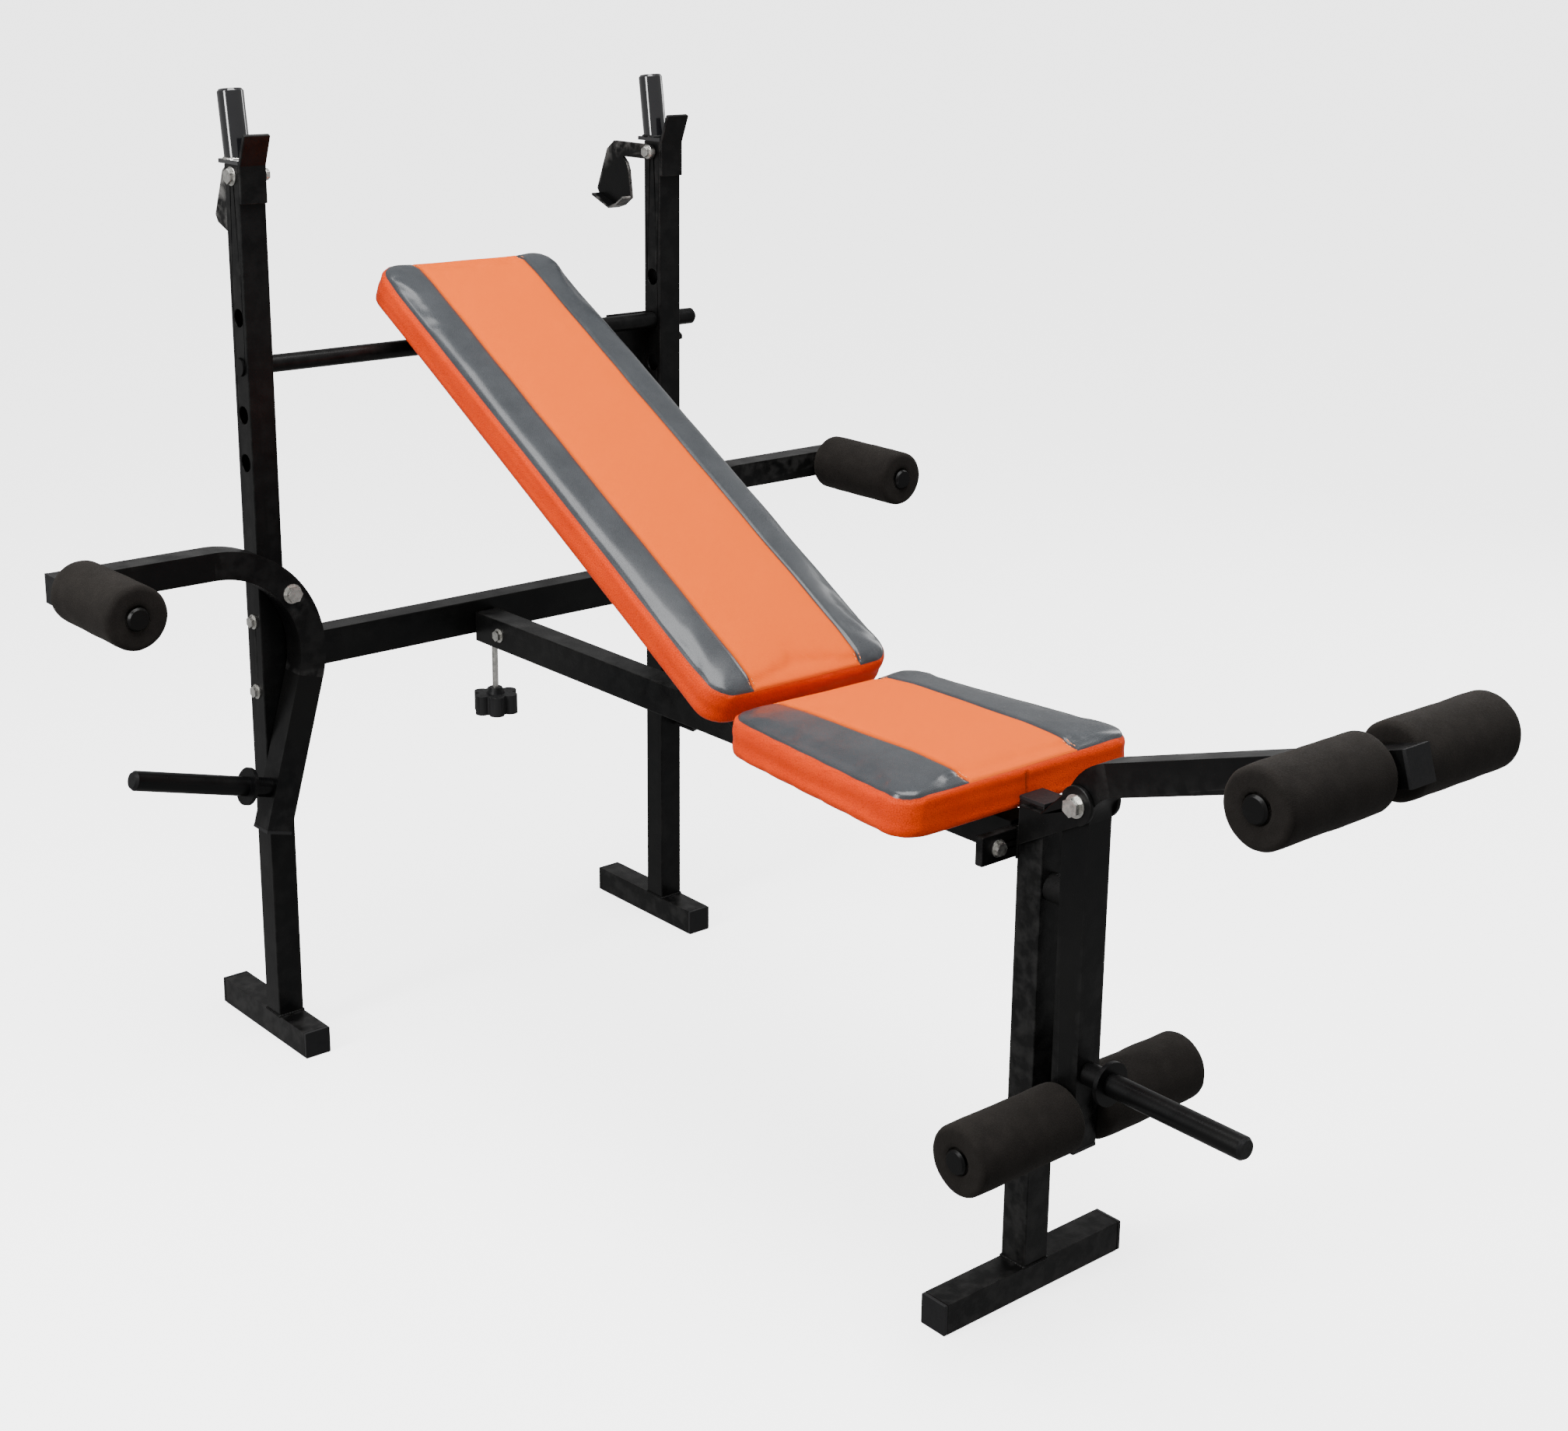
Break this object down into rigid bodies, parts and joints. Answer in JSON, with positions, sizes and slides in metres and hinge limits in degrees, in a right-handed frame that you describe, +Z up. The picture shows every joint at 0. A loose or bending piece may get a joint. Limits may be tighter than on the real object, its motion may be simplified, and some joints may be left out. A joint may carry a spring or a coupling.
{
  "type": "adjustable weight bench",
  "caption": "Adjustable weight bench with barbell rests, a reclining back, two swinging chest arms and a leg lever with foam rollers.",
  "frame": {"origin": "on the floor, under the middle of the bounding box", "axes": "+Z up, +Y towards the uprights at the back, +X to the right of someone who looks from the front of the bench towards the uprights"},
  "size_m": [1.245, 1.6334, 1.229],
  "materials": {
    "frame_paint": "satin black powder coat",
    "gloss_tube": "gloss black",
    "zinc": "zinc plated",
    "cap_plastic": "black moulded plastic",
    "foam": "matte foam",
    "bumper_rubber": "matte rubber",
    "upholstery": "orange and grey vinyl and fabric",
    "board": "plain particle board"
  },
  "bodies": {
    "frame": {"upright_left": "frame_paint", "upright_right": "frame_paint", "rear_foot_left": "frame_paint", "rear_foot_right": "frame_paint", "rear_foot_caps": "cap_plastic", "rest_posts": "gloss_tube", "cradle_lips": "frame_paint", "crossbar": "frame_paint", "crossbar_bolts": "zinc", "beam_stub": "frame_paint", "main_beam": "frame_paint", "beam_bolt": "zinc", "front_post": "frame_paint", "front_post_cap": "cap_plastic", "front_foot": "frame_paint", "front_foot_caps": "cap_plastic", "post_flanges": "frame_paint", "flange_bolts": "zinc", "lever_ears": "frame_paint", "lever_pivot_bolt": "zinc", "lever_bumper": "bumper_rubber", "arm_pivot_bolts": "zinc", "arm_bushings": "cap_plastic", "hook_pivots": "zinc", "bar_gusset": "frame_paint", "seat_brackets": "frame_paint", "seat_board": "board", "seat_pad": "upholstery", "hinge_bracket": "frame_paint", "hinge_pin": "zinc"},
    "backrest": {"back_rails": "frame_paint", "back_board": "board", "back_pad": "upholstery"},
    "support_bar": {"support_bar": "frame_paint"},
    "arm_left": {"arm_left": "frame_paint", "arm_left_rod": "frame_paint", "arm_left_post": "frame_paint", "arm_left_caps": "cap_plastic"},
    "arm_right": {"arm_right": "frame_paint", "arm_right_rod": "frame_paint", "arm_right_post": "frame_paint", "arm_right_caps": "cap_plastic"},
    "leg_lever": {"leg_lever": "frame_paint", "lever_rods": "frame_paint", "lever_post": "frame_paint", "lever_caps": "cap_plastic"},
    "roller_arm_left": {"roller_arm_left": "foam"},
    "roller_arm_right": {"roller_arm_right": "foam"},
    "roller_top_left": {"roller_top_left": "foam"},
    "roller_top_right": {"roller_top_right": "foam"},
    "roller_low_left": {"roller_low_left": "foam"},
    "roller_low_right": {"roller_low_right": "foam"},
    "hook_left": {"hook_left": "frame_paint"},
    "hook_right": {"hook_right": "frame_paint"},
    "clamp_knob": {"clamp_knob": "cap_plastic", "clamp_screw": "zinc"}
  },
  "joints": [
    {"name": "backrest_tilt", "type": "hinge", "parent": "frame", "child": "backrest", "pos_m": [0, 0.07769, 0.57864], "axis": [1, 0, 0], "range_deg": [0, 25]},
    {"name": "support_bar_pull", "type": "slide", "parent": "frame", "child": "support_bar", "axis": [1, 0, 0], "range_m": [0, 0.25]},
    {"name": "leg_lever_swing", "type": "hinge", "parent": "frame", "child": "leg_lever", "pos_m": [0, -0.43431, 0.577], "axis": [-1, 0, 0], "range_deg": [0, 90]},
    {"name": "arm_left_swing", "type": "hinge", "parent": "frame", "child": "arm_left", "pos_m": [-0.309, 0.63769, 0.616], "axis": [0, 1, 0], "range_deg": [0, 90]},
    {"name": "arm_right_swing", "type": "hinge", "parent": "frame", "child": "arm_right", "pos_m": [0.309, 0.63769, 0.616], "axis": [0, -1, 0], "range_deg": [0, 90]},
    {"name": "hook_left_turn", "type": "hinge", "parent": "frame", "child": "hook_left", "pos_m": [-0.316, 0.67769, 1.126], "axis": [1, 0, 0], "range_deg": [0, 150]},
    {"name": "hook_right_turn", "type": "hinge", "parent": "frame", "child": "hook_right", "pos_m": [0.316, 0.67769, 1.126], "axis": [1, 0, 0], "range_deg": [0, 150]},
    {"name": "knob_turn", "type": "hinge", "parent": "frame", "child": "clamp_knob", "pos_m": [0, 0.63819, 0.421], "axis": [0, 0, 1], "range_deg": [0, 360]},
    {"name": "roller_arm_left_spin", "type": "hinge", "parent": "arm_left", "child": "roller_arm_left", "pos_m": [-0.584, 0.62019, 0.66652], "axis": [0, -1, 0], "continuous": true},
    {"name": "roller_arm_right_spin", "type": "hinge", "parent": "arm_right", "child": "roller_arm_right", "pos_m": [0.584, 0.62019, 0.66652], "axis": [0, -1, 0], "continuous": true},
    {"name": "roller_top_left_spin", "type": "hinge", "parent": "leg_lever", "child": "roller_top_left", "pos_m": [-0.0195, -0.76747, 0.70615], "axis": [1, 0, 0], "continuous": true},
    {"name": "roller_top_right_spin", "type": "hinge", "parent": "leg_lever", "child": "roller_top_right", "pos_m": [0.0195, -0.76747, 0.70615], "axis": [1, 0, 0], "continuous": true},
    {"name": "roller_low_left_spin", "type": "hinge", "parent": "leg_lever", "child": "roller_low_left", "pos_m": [-0.0195, -0.43081, 0.233], "axis": [1, 0, 0], "continuous": true},
    {"name": "roller_low_right_spin", "type": "hinge", "parent": "leg_lever", "child": "roller_low_right", "pos_m": [0.0195, -0.43081, 0.233], "axis": [1, 0, 0], "continuous": true}
  ]
}
